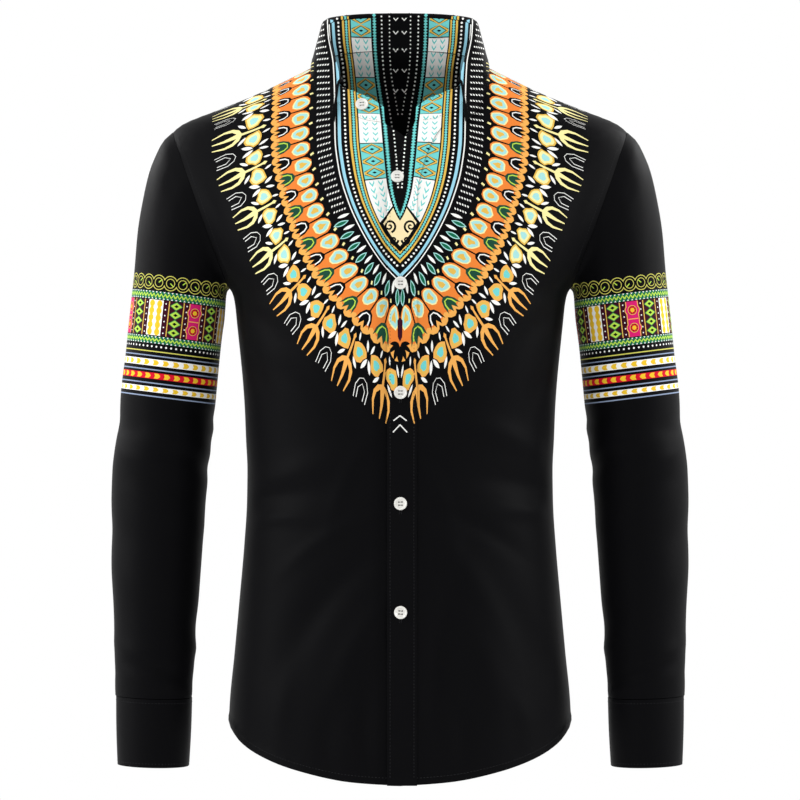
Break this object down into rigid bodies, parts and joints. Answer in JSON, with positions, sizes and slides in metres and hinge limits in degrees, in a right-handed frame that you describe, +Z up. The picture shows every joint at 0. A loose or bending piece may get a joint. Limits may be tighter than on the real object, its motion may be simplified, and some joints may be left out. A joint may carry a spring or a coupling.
{
  "type": "dashiki shirt",
  "caption": "Black long-sleeved button-up shirt with an African-style folk print round the neck and on the sleeves, hollow as worn, collar open.",
  "frame": {"origin": "between the high points of the two shoulder seams, where the wearer's shoulders and neck hold the shirt up", "axes": "+Z up along the body, +X to the viewer's right, the wearer's left, and the front faces -Y"},
  "size_m": [0.5904, 0.258, 0.7836],
  "materials": {
    "black_cloth": "smooth plain-weave shirt cloth, matt, black with a coloured print",
    "white_button": "satin white resin"
  },
  "bodies": {
    "root": {"front_left": "black_cloth", "front_right": "black_cloth", "placket": "black_cloth", "back": "black_cloth", "sleeve_left": "black_cloth", "sleeve_right": "black_cloth", "cuff_left": "black_cloth", "cuff_right": "black_cloth", "collar_stand": "black_cloth", "collar_leaf": "black_cloth", "button_1": "white_button", "button_2": "white_button", "button_3": "white_button", "button_4": "white_button", "button_5": "white_button", "button_collar": "white_button", "button_cuff_left": "white_button", "button_cuff_right": "white_button"}
  },
  "joints": []
}
